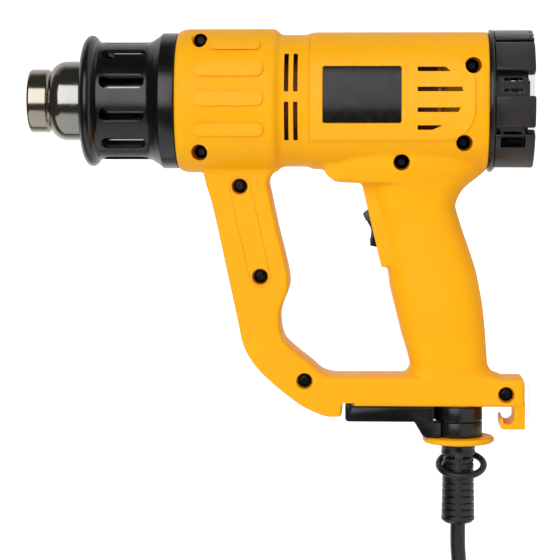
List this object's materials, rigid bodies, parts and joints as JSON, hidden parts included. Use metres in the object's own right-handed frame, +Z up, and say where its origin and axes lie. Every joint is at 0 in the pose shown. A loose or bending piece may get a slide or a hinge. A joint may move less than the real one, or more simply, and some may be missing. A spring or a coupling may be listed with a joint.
{
  "type": "heat gun",
  "caption": "Corded hot-air gun with a closed D-shaped handle, slotted nozzle guard, rocker switch, fold-out stand legs and a coiled cord with plug.",
  "frame": {"origin": "middle of the box of the tool without its free cord, on the plane that the rear cap stands on", "axes": "+Z up the barrel to the nozzle, -X from the barrel down the handle to the cord, -Y out of the tool's left side, the one pictured"},
  "size_m": [0.4289, 0.1076, 0.259],
  "materials": {
    "yellow_plastic": "satin moulded",
    "black_plastic": "satin moulded",
    "label_plate": "satin, blank",
    "black_rubber": "matte",
    "stainless_steel": "polished, faintly heat tinted",
    "plated_steel": "plated",
    "black_steel": "black oxide",
    "aluminium": "extruded",
    "brass": "polished",
    "mica": "mica sheet",
    "ceramic": "unglazed ceramic",
    "circuit_board": "lacquered",
    "capacitor": "glossy"
  },
  "bodies": {
    "housing": {"left_shell": "yellow_plastic", "right_shell": "yellow_plastic", "label_left": "label_plate", "label_right": "label_plate", "rear_cap": "black_plastic", "dial_potentiometer": "black_plastic", "control_board": "circuit_board", "triac_heatsink": "aluminium", "filter_capacitor": "capacitor", "nozzle_guard": "black_plastic", "nozzle_tube": "stainless_steel", "insulator_tube": "mica", "heater_base": "ceramic", "heater_core": "ceramic", "air_duct": "black_plastic", "motor_can": "plated_steel", "motor_mount": "black_plastic", "switch_body": "black_plastic", "housing_screw_1": "black_steel", "housing_screw_2": "black_steel", "housing_screw_3": "black_steel", "housing_screw_4": "black_steel", "housing_screw_5": "black_steel", "housing_screw_6": "black_steel", "housing_screw_7": "black_steel", "housing_screw_8": "black_steel", "housing_screw_9": "black_steel", "stand_retainer": "yellow_plastic", "strain_relief": "black_rubber", "cord_clamp": "black_plastic", "clamp_screw_1": "plated_steel", "clamp_screw_2": "plated_steel", "terminal_block": "ceramic", "cord_inner": "black_rubber", "power_cord": "black_rubber", "cord_coil": "black_rubber", "cord_tail": "black_rubber", "cord_tie": "black_plastic", "plug_body": "black_rubber", "plug_pin_1": "brass", "plug_pin_2": "brass"},
    "fan": {"fan_wheel": "black_plastic", "motor_shaft": "plated_steel"},
    "dial": {"temperature_dial": "black_plastic"},
    "rocker": {"switch_rocker": "black_plastic"},
    "leg_left": {"stand_leg_left": "black_plastic"},
    "leg_right": {"stand_leg_right": "black_plastic"},
    "ring": {"hang_ring": "black_rubber"}
  },
  "joints": [
    {"name": "fan_spin", "type": "hinge", "parent": "housing", "child": "fan", "pos_m": [0.09099, 0, 0.057], "axis": [0, 0, 1], "continuous": true},
    {"name": "dial_turn", "type": "hinge", "parent": "housing", "child": "dial", "pos_m": [0.09099, 0, 0.003], "axis": [0, 0, 1], "range_deg": [0, 270]},
    {"name": "rocker_tilt", "type": "hinge", "parent": "housing", "child": "rocker", "pos_m": [0.02616, 0, 0.07917], "axis": [0, 1, 0], "range_deg": [-10, 10]},
    {"name": "leg_left_swing", "type": "hinge", "parent": "housing", "child": "leg_left", "pos_m": [-0.0785, 0, 0.0365], "axis": [1, 0, 0], "range_deg": [0, 117]},
    {"name": "leg_right_swing", "type": "hinge", "parent": "housing", "child": "leg_right", "pos_m": [-0.0705, 0, 0.0365], "axis": [1, 0, 0], "range_deg": [-117, 0]},
    {"name": "ring_swivel", "type": "hinge", "parent": "housing", "child": "ring", "pos_m": [-0.0985, 0, 0.0365], "axis": [1, 0, 0], "continuous": true}
  ]
}
